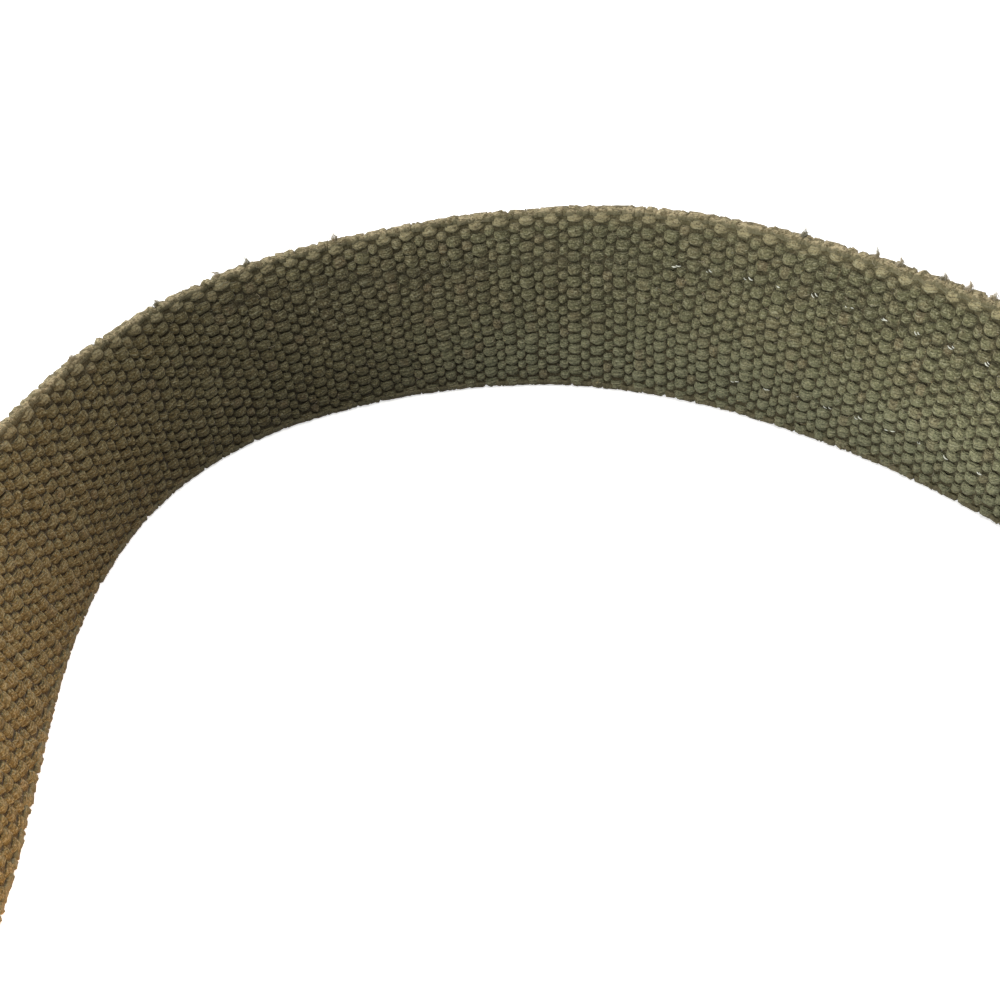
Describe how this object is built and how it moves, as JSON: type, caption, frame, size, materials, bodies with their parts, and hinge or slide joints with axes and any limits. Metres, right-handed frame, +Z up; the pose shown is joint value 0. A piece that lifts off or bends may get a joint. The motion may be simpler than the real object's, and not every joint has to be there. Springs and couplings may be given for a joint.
{
  "type": "canvas web belt",
  "caption": "Thick canvas webbing fastened into a loop that stands on its lower edge, with a plain sheet metal sleeve buckle and a short free tail.",
  "frame": {"origin": "bottom centre of the whole belt, on the surface that its lower edge stands on", "axes": "+Y to the far end of the loop, away from the buckle; +X across the loop; +Z up the webbing's width"},
  "size_m": [0.2524, 0.4088, 0.0418],
  "materials": {
    "webbing": "faded olive drab cotton, coarse ribbed weave",
    "buckle_metal": "dull dark paint, worn to bare metal on its edges"
  },
  "bodies": {
    "root": {"webbing_strap": "webbing", "buckle": "buckle_metal"}
  },
  "joints": []
}
